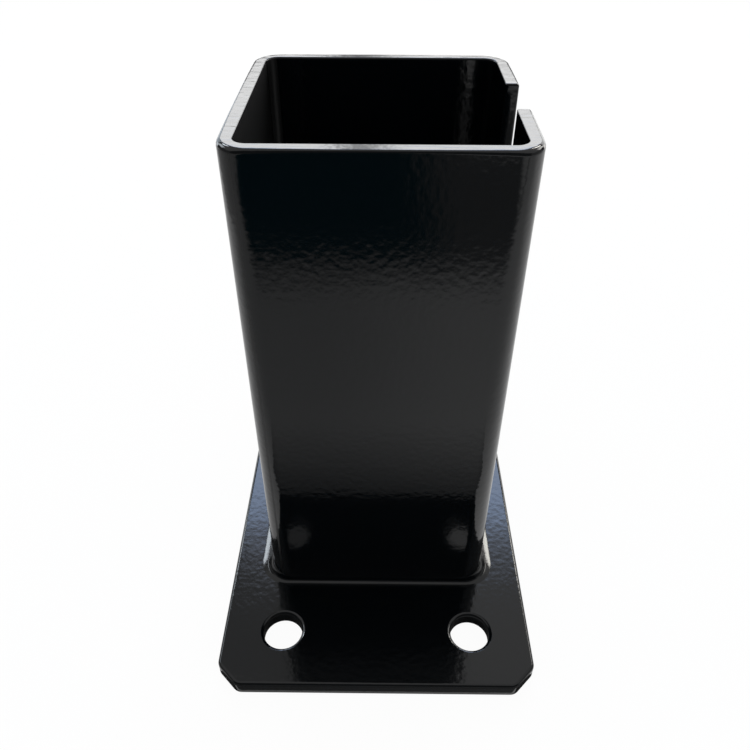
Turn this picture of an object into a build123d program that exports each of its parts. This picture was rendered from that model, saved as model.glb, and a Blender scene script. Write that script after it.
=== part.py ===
from build123d import *

import os

# A bolt-down post bracket: a folded C-section stands in the middle of a base plate,
# and a fillet weld runs round the outside of its foot. Sizes are in millimetres.
# The origin is the middle of the plate's underside, +Z runs up the post,
# and the slot of the C-section opens towards +X.

# folded C-section
post_width = 60.0  # outside, along X
post_depth = 60.0  # outside, along Y
post_height = 127.8  # above the plate
sheet_thickness = 3.0
inside_bend_radius = 2.8
slot_width = 15.6
front_lip_round = 1.5  # outer corner of the front edge of the slot, rolled over in shearing
lip_round = 0.5  # the slot's other three corners
rim_round = 0.45  # edges of the sawn top

# base plate
plate_side_margin = 11.5  # from the post's side walls to the plate's side edges
plate_end_margin = 31.0  # from the post's front and back to the plate's ends
plate_thickness = 4.2
corner_cut = 5.6  # 45 degree cut at each corner
corner_round = 3.0  # rounds both ends of the corner cut
plate_top_round = 0.9
plate_underside_chamfer = 0.3

# four anchor holes
hole_diameter = 10.4
hole_to_side_edge = 16.1
hole_to_end_edge = 15.4
hole_top_round = 0.85
hole_underside_chamfer = 0.3

# fillet weld at the foot of the post
weld_side_leg = 3.0  # stands out from the side walls
weld_end_leg = 1.6  # stands out from the front and back walls
weld_rise = 2.4  # climbs up the walls
weld_edge = 0.2  # thickness left at the top of the bead
weld_slot_clearance = 1.2  # from the edges of the slot to the ends of the bead
weld_levels = 5  # flats that make up the hollow face of the bead

outside_bend_radius = inside_bend_radius + sheet_thickness
plate_width = post_width + 2 * plate_side_margin
plate_depth = post_depth + 2 * plate_end_margin


def break_edges(plate, side, operation, outline_size, hole_size):
    """Fillets or chamfers the outline and the hole rims on one side: 0 is under, -1 on top."""
    face = plate.faces().sort_by(Axis.Z)[side]
    plate = operation(face.outer_wire().edges(), outline_size)
    face = plate.faces().sort_by(Axis.Z)[side]
    rims = [edge for wire in face.inner_wires() for edge in wire.edges()]
    return operation(rims, hole_size)


def base_plate():
    """Flat plate with cut corners, broken edges and an anchor hole near each corner."""
    outline = chamfer(Rectangle(plate_width, plate_depth).vertices(), corner_cut)
    outline = fillet(outline.vertices(), corner_round)
    spacing_x = plate_width - 2 * hole_to_side_edge
    spacing_y = plate_depth - 2 * hole_to_end_edge
    outline -= GridLocations(spacing_x, spacing_y, 2, 2) * Circle(hole_diameter / 2)
    plate = extrude(outline, plate_thickness)
    plate = break_edges(plate, -1, fillet, plate_top_round, hole_top_round)
    return break_edges(plate, 0, chamfer, plate_underside_chamfer, hole_underside_chamfer)


def c_post():
    """Sheet folded at four corners, from the front edge of the slot round to the back one."""
    mid_x = (post_width - sheet_thickness) / 2
    mid_y = (post_depth - sheet_thickness) / 2
    fold_line = FilletPolyline(
        (mid_x, -slot_width / 2),
        (mid_x, -mid_y),
        (-mid_x, -mid_y),
        (-mid_x, mid_y),
        (mid_x, mid_y),
        (mid_x, slot_width / 2),
        radius=inside_bend_radius + sheet_thickness / 2,
    )
    section = trace(fold_line, sheet_thickness)
    outer_x = post_width / 2
    inner_x = outer_x - sheet_thickness
    for x, y, radius in (
        (outer_x, -slot_width / 2, front_lip_round),
        (outer_x, slot_width / 2, lip_round),
        (inner_x, -slot_width / 2, lip_round),
        (inner_x, slot_width / 2, lip_round),
    ):
        section = fillet(section.vertices().sort_by_distance((x, y))[0], radius)
    post = extrude(Pos(Z=plate_thickness) * section, post_height)
    return fillet(post.faces().sort_by(Axis.Z)[-1].edges(), rim_round)


def weld_outline(side_stand_out, end_stand_out):
    """Outline of the post, grown by one amount at its sides and another at its ends."""
    return RectangleRounded(
        post_width + 2 * side_stand_out,
        post_depth + 2 * end_stand_out,
        outside_bend_radius + (side_stand_out + end_stand_out) / 2,
    )


def foot_weld():
    """Hollow fillet bead round the outside of the post's foot, open across the slot."""
    outlines = []
    for level in range(weld_levels + 1):
        climb = level / weld_levels
        share = (1 - climb) ** 2
        outline = weld_outline(
            weld_edge + (weld_side_leg - weld_edge) * share,
            weld_edge + (weld_end_leg - weld_edge) * share,
        )
        outlines.append(Pos(Z=plate_thickness + weld_rise * climb) * outline)
    bead = loft(outlines, ruled=True)
    bead -= extrude(Pos(Z=plate_thickness) * weld_outline(0, 0), post_height)
    gap_width = slot_width + 2 * weld_slot_clearance
    return bead - Pos(post_width / 2, 0, plate_thickness) * Box(
        post_width, gap_width, post_height
    )


os.makedirs("parts", exist_ok=True)
export_step(base_plate(), "parts/base_plate.step")
export_step(c_post(), "parts/c_post.step")
export_step(foot_weld(), "parts/foot_weld.step")
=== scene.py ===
import bpy
import math
import random
from mathutils import Matrix, Vector


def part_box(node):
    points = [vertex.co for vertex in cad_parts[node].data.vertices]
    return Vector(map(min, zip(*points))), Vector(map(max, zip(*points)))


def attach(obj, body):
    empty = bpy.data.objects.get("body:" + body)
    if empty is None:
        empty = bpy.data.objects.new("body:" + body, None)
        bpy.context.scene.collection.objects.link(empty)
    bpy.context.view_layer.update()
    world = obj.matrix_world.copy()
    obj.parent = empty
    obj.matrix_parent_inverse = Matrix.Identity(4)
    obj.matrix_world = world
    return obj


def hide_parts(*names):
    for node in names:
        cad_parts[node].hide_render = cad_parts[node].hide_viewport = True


# Gloss black post base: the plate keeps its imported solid, while the folded post and the weld
# are modelled again at the same size with worn edges. Lengths are in metres unless a note says mm.
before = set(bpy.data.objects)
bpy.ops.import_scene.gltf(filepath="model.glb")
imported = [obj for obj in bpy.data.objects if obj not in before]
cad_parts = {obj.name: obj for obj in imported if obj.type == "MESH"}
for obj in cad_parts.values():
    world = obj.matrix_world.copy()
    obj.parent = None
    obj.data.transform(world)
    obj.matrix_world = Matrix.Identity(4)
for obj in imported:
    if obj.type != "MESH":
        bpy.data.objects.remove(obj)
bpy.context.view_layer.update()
bpy.ops.object.select_all(action="DESELECT")
print("frame loaded:", ", ".join(sorted(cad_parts)))

mm = 0.001
touching = 0.01 * mm  # places closer than this count as one
wallWays = ((1, 0, 0), (0, 1, 0))  # the two ways that the walls run
white = (1, 1, 1, 1)


def linear(hexColour):
    channels = [int(hexColour[i : i + 2], 16) / 255 for i in (1, 3, 5)]
    curve = [c / 12.92 if c <= 0.04045 else ((c + 0.055) / 1.055) ** 2.4 for c in channels]
    return (*curve, 1.0)


def addNode(tree, kind, settings=None, links=None, stops=()):
    node = tree.nodes.new(kind)
    for name, value in (settings or {}).items():
        setattr(node, name, value)
    for name, value in (links or {}).items():
        if isinstance(value, bpy.types.NodeSocket):
            tree.links.new(value, node.inputs[name])
        else:
            node.inputs[name].default_value = value
    for count, (place, colour) in enumerate(stops):  # a ramp starts with two stops
        ramp = node.color_ramp.elements
        stop = ramp[count] if count < 2 else ramp.new(place)
        stop.position = place
        stop.color = colour
    return node


def newMaterial(name):
    made = bpy.data.materials.new(name)
    made.use_nodes = True
    made.node_tree.nodes.clear()
    return made, made.node_tree


def pick(piece, kind, wanted):
    # leaves edit mode on, with only the wanted faces, edges or points selected
    bpy.ops.object.mode_set(mode="EDIT")
    bpy.ops.mesh.select_mode(type=kind)
    bpy.ops.mesh.select_all(action="DESELECT")
    bpy.ops.object.mode_set(mode="OBJECT")
    mesh = piece.data
    points = mesh.vertices
    for face in mesh.polygons if kind == "FACE" else ():
        face.select = wanted(face)
    for edge in mesh.edges if kind == "EDGE" else ():
        edge.select = wanted(*(points[i].co for i in edge.vertices))
    for point in points if kind == "VERT" else ():
        point.select = wanted(point.co)
    bpy.ops.object.mode_set(mode="EDIT")


def cutAcross(places, axis):
    for place in places:
        bpy.ops.mesh.select_all(action="SELECT")
        bpy.ops.mesh.bisect(plane_co=Vector(axis) * place, plane_no=axis)


def applyModifier(piece, kind, settings):
    modifier = piece.modifiers.new(kind.lower(), kind)
    for name, value in settings.items():
        setattr(modifier, name, value)
    bpy.ops.object.modifier_apply(modifier=modifier.name)


def onBracket(piece, node):
    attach(piece, "root")
    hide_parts(node)


def near(value, target):
    return abs(value - target) < touching


# camera: close to the bracket and looking down on it
camera = {
    "lens": 33.976,  # mm
    "sensor": 36,  # mm
    "nearest": 0.01,
    "place": (-0.142 * mm, -150.793 * mm, 179.839 * mm),
    "yaw": -0.0054,  # radians
    "pitch": -0.6843,
    "roll": 0.0053,
}


def makeCamera():
    yaw, pitch, roll = camera["yaw"], camera["pitch"], camera["roll"]
    ahead = Vector((math.sin(yaw) * math.cos(pitch), math.cos(yaw) * math.cos(pitch), math.sin(pitch)))
    right = Vector((math.cos(yaw), -math.sin(yaw), 0))
    up = right.cross(ahead)
    turnedRight = math.cos(roll) * right + math.sin(roll) * up
    turnedUp = math.cos(roll) * up - math.sin(roll) * right
    bpy.ops.object.camera_add(location=camera["place"])
    made = bpy.context.object
    made.name = "camera"
    made.rotation_euler = Matrix((turnedRight, turnedUp, -ahead)).transposed().to_euler()
    made.data.lens = camera["lens"]
    made.data.sensor_width = camera["sensor"]
    made.data.clip_start = camera["nearest"]
    bpy.context.scene.camera = made


makeCamera()
print("camera placed")

# gloss black polyester powder coat, sprayed on dry and baked: deep blue black under a clear
# mirror-like gloss that the flow of the melt leaves slightly dimpled, so reflected edges look ragged
coat = {  # lengths in mm
    "colour": "#030507",
    "roughness": 0.1,
    "insideRoughness": 0.42,  # little powder reaches into the bends
    "peelCell": 1.5,  # between the dimples of the orange peel
    "peelHeight": 0.042,
    "platePeel": 0.8,  # share of that height that forms on the plate
    "swellCell": 9.0,  # between the long swells under them
    "swellHeight": 0.04,
    "nibs": {"spacing": 9.0, "width": 0.22, "height": 0.03, "share": 0.4},  # dust baked into it
}


def specks(tree, place, height, lumps, mask=None):
    # small round lumps, one to a cell of the pattern, and only in a share of the cells
    cells = addNode(tree, "ShaderNodeTexVoronoi", None, {
        "Vector": place, "Scale": 1 / (lumps["spacing"] * mm)})
    lump = addNode(tree, "ShaderNodeMapRange", {"interpolation_type": "SMOOTHSTEP"}, {
        "Value": cells.outputs["Distance"], "From Min": lumps["width"] / lumps["spacing"] / 2,
        "From Max": 0.0, "To Max": lumps["height"]})
    chance = addNode(tree, "ShaderNodeSeparateColor", None, {"Color": cells.outputs["Color"]})
    chosen = addNode(tree, "ShaderNodeMath", {"operation": "LESS_THAN"}, {
        0: chance.outputs[0], 1: lumps["share"]})
    if mask:
        chosen = addNode(tree, "ShaderNodeMath", {"operation": "MULTIPLY"}, {0: chosen.outputs[0], 1: mask})
    return addNode(tree, "ShaderNodeMath", {"operation": "MULTIPLY_ADD"}, {
        0: lump.outputs[0], 1: chosen.outputs[0], 2: height.outputs[0]})


def powderCoat(name, roughness, addMarks=None, peelShare=1.0):
    # height in mm drives the bump: dimples on swells, nibs, then the marks of the metal under it
    made, tree = newMaterial(name)
    place = addNode(tree, "ShaderNodeTexCoord").outputs["Object"]
    peel = addNode(tree, "ShaderNodeTexNoise", None, {
        "Vector": place, "Scale": 1 / (coat["peelCell"] * mm), "Detail": 1.5, "Roughness": 0.4})
    swell = addNode(tree, "ShaderNodeTexNoise", None, {
        "Vector": place, "Scale": 1 / (coat["swellCell"] * mm), "Detail": 0.0})
    height = addNode(tree, "ShaderNodeMath", {"operation": "MULTIPLY"}, {
        0: peel.outputs["Fac"], 1: coat["peelHeight"] * peelShare})
    height = addNode(tree, "ShaderNodeMath", {"operation": "MULTIPLY_ADD"}, {
        0: swell.outputs["Fac"], 1: coat["swellHeight"], 2: height.outputs[0]})
    height = specks(tree, place, height, coat["nibs"])
    if addMarks:
        height = addMarks(tree, place, height)
    bump = addNode(tree, "ShaderNodeBump", None, {"Height": height.outputs[0], "Distance": mm})
    shader = addNode(tree, "ShaderNodeBsdfPrincipled", None, {
        "Base Color": linear(coat["colour"]), "Roughness": roughness, "IOR": 1.5,
        "Normal": bump.outputs["Normal"]})
    addNode(tree, "ShaderNodeOutputMaterial", None, {"Surface": shader.outputs["BSDF"]})
    return made


# base plate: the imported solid, with grains of weld spatter under its coat
spatter = {"reach": 7.0, "spacing": 1.5, "width": 0.5, "height": 0.06, "share": 0.35}  # mm


def weldSpatter(tree, place, height):
    # grains thrown from the weld, thinning out over a few millimetres from the post's foot
    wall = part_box("c_post")[1].x
    axes = addNode(tree, "ShaderNodeSeparateXYZ", None, {"Vector": place})
    across = addNode(tree, "ShaderNodeMath", {"operation": "ABSOLUTE"}, {0: axes.outputs["X"]})
    along = addNode(tree, "ShaderNodeMath", {"operation": "ABSOLUTE"}, {0: axes.outputs["Y"]})
    away = addNode(tree, "ShaderNodeMath", {"operation": "MAXIMUM"}, {
        0: across.outputs[0], 1: along.outputs[0]})
    mask = addNode(tree, "ShaderNodeMapRange", None, {
        "Value": away.outputs[0], "From Min": wall + spatter["reach"] * mm, "From Max": wall})
    return specks(tree, place, height, spatter, mask.outputs[0])


# rolled plate under the coat: flatter dimples and a few grains, so it mirrors the room more calmly
coatedPlate = powderCoat("powder_coat_on_plate", coat["roughness"], weldSpatter, coat["platePeel"])
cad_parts["base_plate"].data.materials[0] = coatedPlate
print("plate coated")

# folded post: one sheet bent at four corners round a square, open along a slot, its top sawn and dressed
post = {
    "sheet": 3.0 * mm,
    "insideBend": 2.8 * mm,
    "bendSteps": 14,
    "slot": 15.6 * mm,
    "rimRound": 0.45 * mm,
    "innerRimRound": 0.2 * mm,
    "backRimRound": 0.5 * mm,
    "cornerRound": 1.95 * mm,  # the file takes more off the outer corners
    "cornerReach": 13.0 * mm,
    "cornerFade": 1.5,
    "lipRound": 0.5 * mm,
    "frontLipRound": 1.35 * mm,
    "frontLipInnerRound": 0.95 * mm,
    "backLipTopRound": 0.5 * mm,
    "roundSteps": 6,
    "cutSpacing": 3.0 * mm,  # between the cuts that let the rim's rounding change along a wall
    "slotMargin": 0.9 * mm,  # no such cut comes closer to the slot
    "middleCut": 2.6 * mm,  # to each side of a wall's middle
    "handWobble": 0.12,  # share by which a hand-held file varies
    "seed": 7,
    "thinCoatFrom": 0.1 * mm,  # out of a wall's plane, where the thinner coat of a bend starts
    "smoothAngle": 40,  # degrees
    "normalWeight": 80,
}
drawn = {  # how the weld's heat and the shear pull the sheet out of flat, in mm
    "footReach": 48.0,  # height over which the front wall leans in
    "footDepth": 1.2,
    "footCurve": 1.5,
    "footSkin": 0.5,  # depth behind the front face that leans in as far as the face
    "bowStart": 3.0,  # across the back wall, from here up to the top of its bow
    "bowTop": 18.4,
    "bowDepth": 0.4,
    "lipFlat": 29.0,  # across the slot's back edge, from here inwards it rolls away
    "lipRun": 2.0,
    "lipCurve": 2.0,
    "lipDepth": 0.15,
    "lipTop": 1.6,  # below the rim, where the roll starts, and over what height it grows
    "lipFade": 1.2,
    "lipEdge": 0.2,  # depth behind the edge's face that rolls away in full
    "lipSpare": 0.06,
}
sawn = {"markLength": 9.0, "markSpacing": 1.4, "markHeight": 0.09, "roughness": 0.14}  # mm


def drawnFoot(tree, axes, height):
    # the weld's heat draws the front wall in towards its foot
    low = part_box("c_post")[0]
    down = addNode(tree, "ShaderNodeMapRange", None, {
        "Value": axes["Z"], "From Min": low.z + drawn["footReach"] * mm, "From Max": low.z})
    lean = addNode(tree, "ShaderNodeMath", {"operation": "POWER"}, {
        0: down.outputs["Result"], 1: drawn["footCurve"]})
    onFront = addNode(tree, "ShaderNodeMapRange", None, {
        "Value": axes["Y"], "From Min": low.y + post["insideBend"] + post["sheet"],
        "From Max": low.y + drawn["footSkin"] * mm, "To Max": -drawn["footDepth"]})
    return addNode(tree, "ShaderNodeMath", {"operation": "MULTIPLY_ADD"}, {
        0: lean.outputs[0], 1: onFront.outputs["Result"], 2: height.outputs[0]})


def bowedBack(tree, axes, height):
    # the inside of the back wall bows beside its bend
    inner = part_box("c_post")[1].y - post["sheet"]
    rise = addNode(tree, "ShaderNodeMapRange", {"interpolation_type": "SMOOTHSTEP"}, {
        "Value": axes["X"], "From Min": drawn["bowStart"] * mm, "From Max": drawn["bowTop"] * mm})
    fall = addNode(tree, "ShaderNodeMapRange", None, {
        "Value": axes["X"], "From Min": inner - post["insideBend"], "From Max": drawn["bowTop"] * mm})
    onBack = addNode(tree, "ShaderNodeMath", {"operation": "COMPARE"}, {
        0: axes["Y"], 1: inner, 2: post["sheet"] / 2})
    bow = addNode(tree, "ShaderNodeMath", {"operation": "MULTIPLY"}, {
        0: rise.outputs["Result"], 1: fall.outputs["Result"]})
    bow = addNode(tree, "ShaderNodeMath", {"operation": "MULTIPLY"}, {
        0: bow.outputs[0], 1: onBack.outputs[0]})
    return addNode(tree, "ShaderNodeMath", {"operation": "MULTIPLY_ADD"}, {
        0: bow.outputs[0], 1: drawn["bowDepth"], 2: height.outputs[0]})


def shearedLip(tree, axes, height):
    # the slot's back edge falls away inwards where the shear rolled it, but for its dressed top
    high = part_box("c_post")[1]
    roll = addNode(tree, "ShaderNodeMapRange", None, {
        "Value": axes["X"], "From Min": drawn["lipFlat"] * mm,
        "From Max": (drawn["lipFlat"] - drawn["lipRun"]) * mm})
    roll = addNode(tree, "ShaderNodeMath", {"operation": "POWER"}, {
        0: roll.outputs["Result"], 1: drawn["lipCurve"]})
    below = addNode(tree, "ShaderNodeMapRange", {"interpolation_type": "SMOOTHSTEP"}, {
        "Value": axes["Z"], "From Min": high.z - drawn["lipTop"] * mm,
        "From Max": high.z - (drawn["lipTop"] + drawn["lipFade"]) * mm, "To Max": -drawn["lipDepth"]})
    inWall = addNode(tree, "ShaderNodeMath", {"operation": "COMPARE"}, {
        0: axes["X"], 1: high.x - post["sheet"] / 2, 2: post["sheet"] / 2 + drawn["lipSpare"] * mm})
    atSlot = addNode(tree, "ShaderNodeMapRange", {"interpolation_type": "SMOOTHSTEP"}, {
        "Value": axes["Y"], "From Min": post["slot"] / 2 + post["sheet"] / 2,
        "From Max": post["slot"] / 2 + drawn["lipEdge"] * mm})
    backHalf = addNode(tree, "ShaderNodeMath", {"operation": "GREATER_THAN"}, {0: axes["Y"], 1: 0.0})
    depth = addNode(tree, "ShaderNodeMath", {"operation": "MULTIPLY"}, {
        0: roll.outputs[0], 1: below.outputs[0]})
    mask = addNode(tree, "ShaderNodeMath", {"operation": "MULTIPLY"}, {
        0: inWall.outputs[0], 1: atSlot.outputs[0]})
    mask = addNode(tree, "ShaderNodeMath", {"operation": "MULTIPLY"}, {
        0: mask.outputs[0], 1: backHalf.outputs[0]})
    return addNode(tree, "ShaderNodeMath", {"operation": "MULTIPLY_ADD"}, {
        0: depth.outputs[0], 1: mask.outputs[0], 2: height.outputs[0]})


def sheetMarks(tree, place, height):
    axes = addNode(tree, "ShaderNodeSeparateXYZ", None, {"Vector": place}).outputs
    height = drawnFoot(tree, axes, height)
    height = bowedBack(tree, axes, height)
    return shearedLip(tree, axes, height)


def sawMarks(tree, place, height):
    # faint lines across the sawn ends, softened by the coat
    stretched = addNode(tree, "ShaderNodeMapping", None, {
        "Vector": place,
        "Scale": [1 / (sawn[key] * mm) for key in ("markLength", "markSpacing", "markLength")]})
    lines = addNode(tree, "ShaderNodeTexNoise", None, {"Vector": stretched.outputs[0], "Scale": 1.0})
    return addNode(tree, "ShaderNodeMath", {"operation": "MULTIPLY_ADD"}, {
        0: lines.outputs["Fac"], 1: sawn["markHeight"], 2: height.outputs[0]})


# on the folded sheet: full gloss, with the walls pulled a little out of flat, so reflections bend
coatedSheet = powderCoat("powder_coat_on_sheet", coat["roughness"], sheetMarks)
# on the inside of the left wall and its two bends: a thin dry coat, so it is satin and greyer
coatedInside = powderCoat("powder_coat_inside_bend", coat["insideRoughness"])
# on the sawn top: the blade's lines show through as a faint streaking of the bright rim
coatedSaw = powderCoat("powder_coat_on_sawn_edge", sawn["roughness"], sawMarks)
print("sheet coats mixed")


def makePost():
    low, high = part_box("c_post")
    half = high.x
    outsideBend = post["insideBend"] + post["sheet"]
    bpy.ops.mesh.primitive_cube_add(size=1)
    piece = bpy.context.object
    piece.name = "folded_post"
    bpy.ops.object.mode_set(mode="EDIT")
    bpy.ops.transform.resize(value=high - low, center_override=(0, 0, 0))
    bpy.ops.transform.translate(value=(low + high) / 2)
    pick(piece, "FACE", lambda face: abs(face.normal.z) > 0.9)
    bpy.ops.mesh.delete(type="ONLY_FACE")
    pick(piece, "EDGE", lambda a, b: near(a.x, b.x) and near(a.y, b.y))
    bpy.ops.mesh.bevel(offset=outsideBend, segments=post["bendSteps"], affect="EDGES")
    # cuts along the walls: at the slot's edges, then evenly, then beside the middle
    places = [-post["slot"] / 2, post["slot"] / 2]
    place = half - outsideBend - post["cutSpacing"]
    while place > post["slot"] / 2 + post["slotMargin"]:
        places += [place, -place]
        place -= post["cutSpacing"]
    places += [-post["middleCut"], post["middleCut"]]
    for axis in wallWays:
        cutAcross(places, axis)
    pick(piece, "FACE", lambda face: near(face.center.x, half) and abs(face.center.y) < post["slot"] / 2)
    bpy.ops.mesh.delete(type="FACE")
    bpy.ops.object.mode_set(mode="OBJECT")
    applyModifier(piece, "SOLIDIFY", {"thickness": post["sheet"], "offset": -1, "use_even_offset": True})
    roundEdges(piece, half, high.z)
    bpy.ops.object.shade_smooth_by_angle(angle=math.radians(post["smoothAngle"]))
    applyModifier(piece, "WEIGHTED_NORMAL", {"keep_sharp": True, "weight": post["normalWeight"]})
    coatPost(piece, half)
    onBracket(piece, "c_post")


def roundEdges(piece, half, top):
    outsideBend = post["insideBend"] + post["sheet"]
    widest = max(post["frontLipRound"], post["cornerRound"])
    wobble = random.Random(post["seed"])

    def depth(point):  # how far inside the outer face a point lies
        x, y = (abs(place) - half + outsideBend for place in point.xy)
        past = Vector((max(x, 0), max(y, 0))).length
        return outsideBend - (past if past > 0 else max(x, y))

    def atSlot(point):
        return point.x > 0 and near(abs(point.y), post["slot"] / 2)

    def slotRound(a, b):  # an edge on the sheet's cut faces along the slot
        if near(a.z, b.z):
            topRound = post["backLipTopRound"] if a.y > 0 else post["rimRound"]
            return topRound if near(a.z, top) else 0
        if not near(a.x, b.x):
            return 0
        if a.y > 0:
            return post["lipRound"]
        return post["frontLipRound" if near(a.x, half) else "frontLipInnerRound"]

    def wantedRound(a, b):
        if atSlot(a) and atSlot(b):
            return slotRound(a, b)
        if not (near(a.z, top) and near(b.z, top)) or not near(depth(a), depth(b)):
            return 0
        middle = (a + b) / 2
        worn = 1 + post["handWobble"] * wobble.uniform(-1, 1)
        if not near(depth(a), 0):
            return post["backRimRound" if middle.y > half - 2 * post["sheet"] else "innerRimRound"] * worn
        corner = Vector((abs(middle.x) - half, abs(middle.y) - half)).length
        share = max(0, 1 - corner / post["cornerReach"]) ** post["cornerFade"]
        return (post["rimRound"] + (post["cornerRound"] - post["rimRound"]) * share) * worn

    points = piece.data.vertices
    weights = piece.data.attributes.new("bevel_weight_edge", "FLOAT", "EDGE")
    for edge in piece.data.edges:
        a, b = (points[i].co for i in edge.vertices)
        weights.data[edge.index].value = wantedRound(a, b) / widest
    applyModifier(piece, "BEVEL", {
        "limit_method": "WEIGHT", "width": widest, "segments": post["roundSteps"],
        "use_clamp_overlap": False})


def coatPost(piece, half):
    inner = half - post["sheet"] - post["thinCoatFrom"]

    def thinlyCoated(centre):  # the inside of the left wall and of its two bends
        inBend = -inner < centre.x < 0 and abs(centre.y) < inner
        return inBend or near(centre.x, -half + post["sheet"])

    for made in (coatedSheet, coatedSaw, coatedInside):
        piece.data.materials.append(made)
    for face in piece.data.polygons:
        if face.normal.z > 0.99:  # the sawn top
            face.material_index = 1
        elif thinlyCoated(face.center):
            face.material_index = 2


makePost()
print("post folded")

# fillet weld round the foot: a hollow bead that runs out smoothly on the wall and on the plate
weld = {
    # the bead's section from toe to top, in mm: height, and how far it stands out at sides and ends
    "height": [
        0.0, 0.02, 0.09, 0.17, 0.26, 0.34, 0.4, 0.43, 0.47, 0.6, 0.75, 0.82, 0.92, 1.2, 1.6, 2.0, 2.36],
    "sideOut": [
        3.7, 3.55, 3.2, 2.85, 2.5, 2.2, 2.0, 1.94, 1.89, 1.77, 1.64, 1.58, 1.49, 1.24, 0.86, 0.45, 0.04],
    "endOut": [
        1.2, 1.195, 1.165, 1.12, 1.05, 0.91, 0.81, 0.76, 0.69, 0.46, 0.21, 0.14, 0.11, 0.09, 0.07, 0.055,
        0.04],
    "tuck": 0.01 * mm,
    "gapClearance": 1.2 * mm,  # from the slot's edges to the ends of the bead
    "bendSteps": 12,
    "stretch": 2.0 * mm,  # length of a face along the bead
    "smoothAngle": 50,  # degrees
    "rippleHeight": 0.02,  # mm
    "rippleCell": 3.2,  # mm
    "peelShare": 0.2,
    "roughness": 0.13,
}


def weldRipples(tree, place, height):
    # the uneven run of the bead, filled in by the coat
    ripples = addNode(tree, "ShaderNodeTexNoise", None, {
        "Vector": place, "Scale": 1 / (weld["rippleCell"] * mm), "Detail": 1.0})
    return addNode(tree, "ShaderNodeMath", {"operation": "MULTIPLY_ADD"}, {
        0: ripples.outputs["Fac"], 1: weld["rippleHeight"], 2: height.outputs[0]})


# the melt pools in the bead's hollow: hardly any dimples, so it draws long clean highlights
coatedWeld = powderCoat("powder_coat_on_weld", weld["roughness"], weldRipples, weld["peelShare"])


def weldOutline(side, end, height, half):
    # one level line of the bead: a rounded square round the post
    bpy.ops.mesh.select_all(action="DESELECT")
    bpy.ops.mesh.primitive_plane_add(size=1)
    bpy.ops.transform.resize(value=(2 * (half.x + side), 2 * (half.y + end), 1), center_override=(0, 0, 0))
    bpy.ops.transform.translate(value=(0, 0, height))
    bend = post["insideBend"] + post["sheet"] + (side + end) / 2
    bpy.ops.mesh.bevel(offset=bend, segments=weld["bendSteps"], affect="VERTICES")
    bpy.ops.mesh.delete(type="ONLY_FACE")


def makeWeld():
    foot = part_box("foot_weld")[0].z
    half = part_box("c_post")[1]
    bpy.ops.mesh.primitive_plane_add(size=1)
    piece = bpy.context.object
    piece.name = "weld_bead"
    bpy.ops.object.mode_set(mode="EDIT")
    bpy.ops.mesh.select_all(action="SELECT")
    bpy.ops.mesh.delete(type="VERT")
    for height, side, end in zip(weld["height"], weld["sideOut"], weld["endOut"]):
        weldOutline(side * mm, end * mm, foot + height * mm, half)
    tuck = weld["tuck"]  # the bridge takes the lines in order of height, so no two share one
    weldOutline(0, 0, foot + weld["height"][-1] * mm + tuck, half)
    weldOutline(0, 0, foot - tuck, half)
    bpy.ops.mesh.select_all(action="SELECT")
    bpy.ops.mesh.bridge_edge_loops(type="CLOSED")
    pick(piece, "VERT", lambda point: point.z < foot - tuck / 2)
    bpy.ops.transform.translate(value=(0, 0, tuck))
    # short faces along the straights, then the gap across the slot
    places = [0]
    place = weld["stretch"]
    while place < half.x - post["insideBend"] - post["sheet"]:
        places += [place, -place]
        place += weld["stretch"]
    for axis in wallWays:
        cutAcross(places, axis)
    gap = post["slot"] / 2 + weld["gapClearance"]
    cutAcross((gap, -gap), (0, 1, 0))
    pick(piece, "FACE", lambda face: face.center.x > 0 and abs(face.center.y) < gap)
    bpy.ops.mesh.delete(type="FACE")
    bpy.ops.mesh.select_mode(type="EDGE")
    bpy.ops.mesh.select_all(action="DESELECT")
    bpy.ops.mesh.select_non_manifold()
    bpy.ops.mesh.edge_face_add()
    bpy.ops.mesh.select_all(action="SELECT")
    bpy.ops.mesh.normals_make_consistent(inside=False)
    bpy.ops.object.mode_set(mode="OBJECT")
    piece.data.materials.append(coatedWeld)
    bpy.ops.object.shade_smooth_by_angle(angle=math.radians(weld["smoothAngle"]))
    onBracket(piece, "foot_weld")


makeWeld()
print("weld laid")

# studio: a white floor under an even white sky, and round it a dim room that only shows in the gloss:
# a tall window behind the bracket, a lamp and pale walls to each side, a ceiling that is lit but for its
# front, and a white sheet under the plate on a darker floor card; walls, ceiling, sheet and floor cards
# glow with painted light and shade
studio = {
    "floorSide": 12.0,
    "floorColour": "#fafaf8",
    "floorWhite": 0.95,  # share of the floor that shows plain white and takes no shadow
    "worldLight": 0.8,
    "room": 3.0,
    "ceiling": 1.6,
    "backWall": 1.2,
    "windowWall": 1.0,
    "lampWall": 0.75,
    "frontWall": -1.5,
    "floorCardHeight": 0.2 * mm,
    "paleHeight": 0.25 * mm,
    "sheetHeight": 0.3 * mm,
    "shadowHeight": 0.35 * mm,
    "shadeUnderHeight": 0.4 * mm,
}
# radiance along a card: (metres, level), where a level is a grey or (red, green, blue)
windowLight = [(0.33, 2.0), (0.55, 4.5), (1.15, (3.5, 4.5, 6.5)), (1.3, (1.6, 1.8, 2.2)), (1.5, 0.6)]
# painted light and shade on the sheet: darker in front of the bracket, where its shadow falls, brighter
# towards the window behind, and fading at its front edge
sheetLeft = [(-0.226, 0.08), (-0.19, 0.42), (-0.1, 0.42), (0.0, 0.75), (0.3, 0.75)]
sheetRight = [(-0.226, 0.1), (-0.19, 0.6), (-0.1, 0.6), (0.0, 0.85), (0.3, 0.85)]
shadowLeft = [(-0.1, 0.42), (-0.0615, 0.08)]
shadowRight = [(-0.1, 0.6), (-0.0615, 0.12)]



def upright(y, x0, x1, z0, z1):
    return [(x0, y, z0), (x1, y, z0), (x1, y, z1), (x0, y, z1)]


def aside(x, y0, y1, z0, z1):
    return [(x, y0, z0), (x, y1, z0), (x, y1, z1), (x, y0, z1)]


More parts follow.
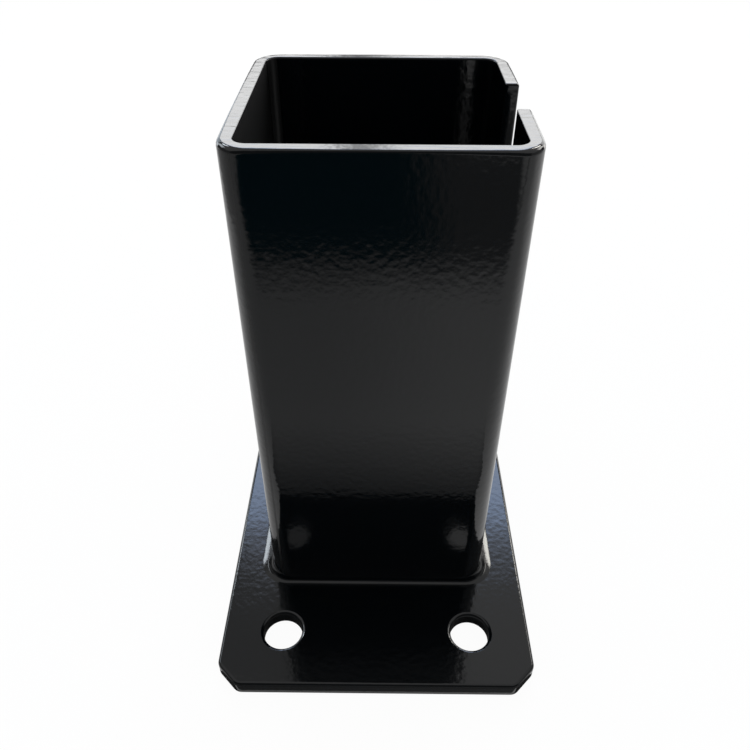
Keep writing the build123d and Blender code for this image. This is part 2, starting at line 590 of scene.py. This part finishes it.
def lying(z, x0, x1, y0, y1):
    return [(x0, y0, z), (x1, y0, z), (x1, y1, z), (x0, y1, z)]


def even(level):
    return [(0.0, level), (1.0, level)]


room = studio["room"]
ceiling = studio["ceiling"]
windowWall = studio["windowWall"]
lampWall = studio["lampWall"]
paleHeight = studio["paleHeight"]
# each card: its corners, the axis its levels run along, and its levels at one place across X or more
cards = {
    "window": (upright(windowWall, -0.38, 0.42, 0.33, 1.5), "Z", [(0, windowLight)]),
    "sill": (upright(windowWall, -0.38, 0.42, 0.0, 0.33), "Z", [(0, even(0.3))]),
    "lamp_left": (upright(lampWall, -0.72, -0.53, 0.73, 1.02), "Z", [(0, even((11.0, 12.0, 13.0)))]),
    "lamp_right": (upright(lampWall, 0.53, 0.72, 0.73, 1.02), "Z", [(0, even((16.5, 16.2, 15.2)))]),
    "glow_left": (aside(-1.05, 0.33, 0.9, 0.55, 1.0), "Z", [(0, even((3.9, 4.2, 4.5)))]),
    "glow_right": (aside(1.05, 0.33, 0.9, 0.55, 1.0), "Z", [(0, even((5.2, 5.1, 4.9)))]),
    "low_glow_left": (aside(-1.05, 0.75, 1.15, 0.0, 0.55), "Z", [(0, even((2.7, 2.9, 3.1)))]),
    "low_glow_right": (aside(1.05, 0.75, 1.15, 0.0, 0.55), "Z", [(0, even((3.5, 3.4, 3.3)))]),
    "back_glow_left": (upright(1.15, -1.05, -0.42, 0.0, 0.78), "Z", [(0, even((1.3, 1.45, 1.6)))]),
    "back_glow_right": (upright(1.15, 0.46, 1.05, 0.0, 0.78), "Z", [(0, even(2.2))]),
    "back_floor_left": (lying(paleHeight, -1.05, -0.22, 0.31, 1.15), "Y", [(0, even(1.1))]),
    "back_floor_right": (lying(paleHeight, 0.22, 1.05, 0.31, 1.15), "Y", [(0, even(1.3))]),
    "wall_back": (upright(studio["backWall"], -room, room, 0, ceiling), "Z", [(0, even(0.12))]),
    "wall_front": (upright(studio["frontWall"], -room, room, 0, ceiling), "Z", [
        (-0.3, even(0.08)), (0.3, even(0.1))]),
    "wall_left": (aside(-room, -room, room, 0, ceiling), "Z", [(0, even(0.2))]),
    "wall_right": (aside(room, -room, room, 0, ceiling), "Z", [(0, even(0.3))]),
    "ceiling_back": (lying(ceiling, -room, room, 0.7, room), "Y", [(-0.1, even(0.44)), (0.2, even(0.75))]),
    "ceiling_front": (lying(ceiling, -room, room, -room, 0.7), "Y", [(0, [
        (-room, 0.08), (-1.0, 0.08), (-0.86, 0.62), (0.7, 0.65)])]),
    # a floor card round the sheet, even along Y: nearly black from 0.2 m left of the bracket to its middle,
    # dim to its right and paler far to each side
    "floor_round_sheet": (lying(studio["floorCardHeight"], -room, room, -room, room), "Y", [
        (-0.26, even(0.4)), (-0.2, even((0.0, 0.03, 0.04))), (0.015, even((0.0, 0.03, 0.04))),
        (0.045, even(0.13)), (0.15, even(0.13)), (0.24, even(0.6))]),
    "pale_floor": (lying(paleHeight, 0.06, room, -room, -0.37), "Y", [(0, [
        (-room, 0.65), (-0.4, 0.65), (-0.372, 0.14), (-0.37, 0.14)])]),
    "sheet": (lying(studio["sheetHeight"], -0.262, 0.6, -0.226, 0.3), "Y", [
        (-0.03, sheetLeft), (0.05, sheetRight)]),
    "plate_shadow": (lying(studio["shadowHeight"], -0.06, 0.06, -0.1, -0.0615), "Y", [
        (-0.03, shadowLeft), (0.05, shadowRight)]),
    # painted shade: a nearly black glowing card for the floor that the plate shades, seen only through the
    # anchor holes
    "shade_under_plate": (lying(studio["shadeUnderHeight"], -0.0415, 0.0415, -0.061, 0.061), "Y", [(0, even(0.03))]),
}
bar = {
    "place": 0.98,
    "left": -0.09,
    "right": 0.035,
    "low": 0.3,
    "high": 1.5,
    "darkLeft": -0.045,
    "darkRight": -0.022,
    "share": 0.31,  # of the window's light that passes its middle
}
holeGlow = {
    "across": 50.8 * mm,  # between the anchor holes
    "along": 91.2 * mm,
    "shift": 0.6 * mm,
    "forward": 1.2 * mm,
    "height": 0.5 * mm,
    "reach": 5.0 * mm,
    "plateau": 2.4 * mm,
    "edge": 0.03,
    "left": 0.16,
    "right": 0.36,
}


def colourOf(level):
    return level if isinstance(level, tuple) else (level, level, level)


def seenRays(tree):
    # 1 where the eye, a reflection or a clear thing looks, and 0 where light falls on the bracket
    path = addNode(tree, "ShaderNodeLightPath")
    first = addNode(tree, "ShaderNodeMath", {"operation": "MAXIMUM"}, {
        0: path.outputs["Is Camera Ray"], 1: path.outputs["Is Glossy Ray"]})
    return addNode(tree, "ShaderNodeMath", {"operation": "MAXIMUM"}, {
        0: first.outputs[0], 1: path.outputs["Is Transmission Ray"]}).outputs[0]


def makeFloor():
    bpy.ops.mesh.primitive_plane_add(size=studio["floorSide"])
    floor = bpy.context.object
    floor.name = "floor"
    made, tree = newMaterial("matt_white_floor")
    matt = addNode(tree, "ShaderNodeBsdfDiffuse", None, {"Color": linear(studio["floorColour"])})
    plain = addNode(tree, "ShaderNodeEmission", None, {"Color": white, "Strength": 1.0})
    share = addNode(tree, "ShaderNodeMath", {"operation": "MULTIPLY"}, {
        0: seenRays(tree), 1: studio["floorWhite"]})
    mixed = addNode(tree, "ShaderNodeMixShader", None, {
        0: share.outputs[0], 1: matt.outputs[0], 2: plain.outputs[0]})
    addNode(tree, "ShaderNodeOutputMaterial", None, {"Surface": mixed.outputs[0]})
    floor.data.materials.append(made)


def makeWorld():
    made = bpy.data.worlds.new("studio")
    made.use_nodes = True
    bpy.context.scene.world = made
    tree = made.node_tree
    tree.nodes.clear()
    level = addNode(tree, "ShaderNodeMix", {"data_type": "FLOAT"}, {
        "Factor": seenRays(tree), "A": studio["worldLight"], "B": 1.0})
    back = addNode(tree, "ShaderNodeBackground", None, {"Color": white, "Strength": level.outputs[0]})
    addNode(tree, "ShaderNodeOutputWorld", None, {"Surface": back.outputs[0]})


def glow(name, axis, columns):
    # radiance that runs along one axis, with the levels changing from column to column across X
    made, tree = newMaterial(name)
    place = addNode(tree, "ShaderNodeTexCoord").outputs["Object"]
    axes = addNode(tree, "ShaderNodeSeparateXYZ", None, {"Vector": place})
    top = max(max(colourOf(level)) for _, levels in columns for _, level in levels)
    mixed = None
    for count, (x, levels) in enumerate(columns):
        low, high = levels[0][0], levels[-1][0]
        along = addNode(tree, "ShaderNodeMapRange", None, {
            "Value": axes.outputs[axis], "From Min": low, "From Max": high})
        shares = [[c / top for c in colourOf(level)] for _, level in levels]
        stops = [((at - low) / (high - low), (*share, 1)) for (at, _), share in zip(levels, shares)]
        ramp = addNode(tree, "ShaderNodeValToRGB", None, {"Fac": along.outputs["Result"]}, stops)
        if mixed is None:
            mixed = ramp.outputs["Color"]
            continue
        across = addNode(tree, "ShaderNodeMapRange", {"interpolation_type": "SMOOTHSTEP"}, {
            "Value": axes.outputs["X"], "From Min": columns[count - 1][0], "From Max": x})
        mixed = addNode(tree, "ShaderNodeMix", {"data_type": "RGBA"}, {
            "Factor": across.outputs["Result"], 6: mixed, 7: ramp.outputs["Color"]}).outputs[2]
    light = addNode(tree, "ShaderNodeEmission", None, {"Color": mixed, "Strength": top})
    addNode(tree, "ShaderNodeOutputMaterial", None, {"Surface": light.outputs[0]})
    return made


def makeCard(name, corners, material, lights=False):
    mesh = bpy.data.meshes.new(name)
    mesh.from_pydata([Vector(c) for c in corners], [], [range(len(corners))])
    card = bpy.data.objects.new(name, mesh)
    bpy.context.scene.collection.objects.link(card)
    card.data.materials.append(material)
    card.visible_camera = False
    card.visible_shadow = False
    card.visible_transmission = False
    card.visible_diffuse = lights


def makeBar():
    # the window's bar, out of focus: it dims what is behind it, most in its middle
    made, tree = newMaterial("window_bar")
    place = addNode(tree, "ShaderNodeTexCoord").outputs["Object"]
    axes = addNode(tree, "ShaderNodeSeparateXYZ", None, {"Vector": place})
    across = addNode(tree, "ShaderNodeMapRange", None, {
        "Value": axes.outputs["X"], "From Min": bar["left"], "From Max": bar["right"]})
    wide = bar["right"] - bar["left"]
    dark = (bar["share"], bar["share"], bar["share"], 1)
    ramp = addNode(tree, "ShaderNodeValToRGB", None, {"Fac": across.outputs["Result"]}, [
        (0, white), ((bar["darkLeft"] - bar["left"]) / wide, dark),
        ((bar["darkRight"] - bar["left"]) / wide, dark), (1, white)])
    clear = addNode(tree, "ShaderNodeBsdfTransparent", None, {"Color": ramp.outputs["Color"]})
    addNode(tree, "ShaderNodeOutputMaterial", None, {"Surface": clear.outputs[0]})
    makeCard("window_bar", upright(bar["place"], bar["left"], bar["right"], bar["low"], bar["high"]), made)


def makeHoleGlow(name, centre, level):
    # the patch under the plate that light reaches through an anchor hole
    made, tree = newMaterial(name)
    place = addNode(tree, "ShaderNodeTexCoord").outputs["Object"]
    away = addNode(tree, "ShaderNodeVectorMath", {"operation": "DISTANCE"}, {0: place, 1: centre})
    fade = addNode(tree, "ShaderNodeMapRange", {"interpolation_type": "SMOOTHSTEP"}, {
        "Value": away.outputs["Value"], "From Min": holeGlow["reach"], "From Max": holeGlow["plateau"],
        "To Min": holeGlow["edge"], "To Max": level})
    light = addNode(tree, "ShaderNodeEmission", None, {"Strength": fade.outputs[0]})
    addNode(tree, "ShaderNodeOutputMaterial", None, {"Surface": light.outputs[0]})
    reach = holeGlow["reach"]
    x, y, z = centre
    makeCard(name, lying(z, x - reach, x + reach, y - reach, y + reach), made)


makeFloor()
makeWorld()
for name, (corners, axis, columns) in cards.items():
    makeCard(name, corners, glow(name, axis, columns), lights=name == "window")
makeBar()
for side, end in ((-1, -1), (-1, 1), (1, -1), (1, 1)):
    x = side * holeGlow["across"] / 2 + holeGlow["shift"]
    y = end * holeGlow["along"] / 2 - holeGlow["forward"]
    level = holeGlow["left" if side < 0 else "right"]
    makeHoleGlow(f"hole_glow_{side}_{end}", (x, y, holeGlow["height"]), level)
print("studio lit:", len(cards), "cards")

scene = bpy.context.scene
scene.view_settings.view_transform = "Standard"
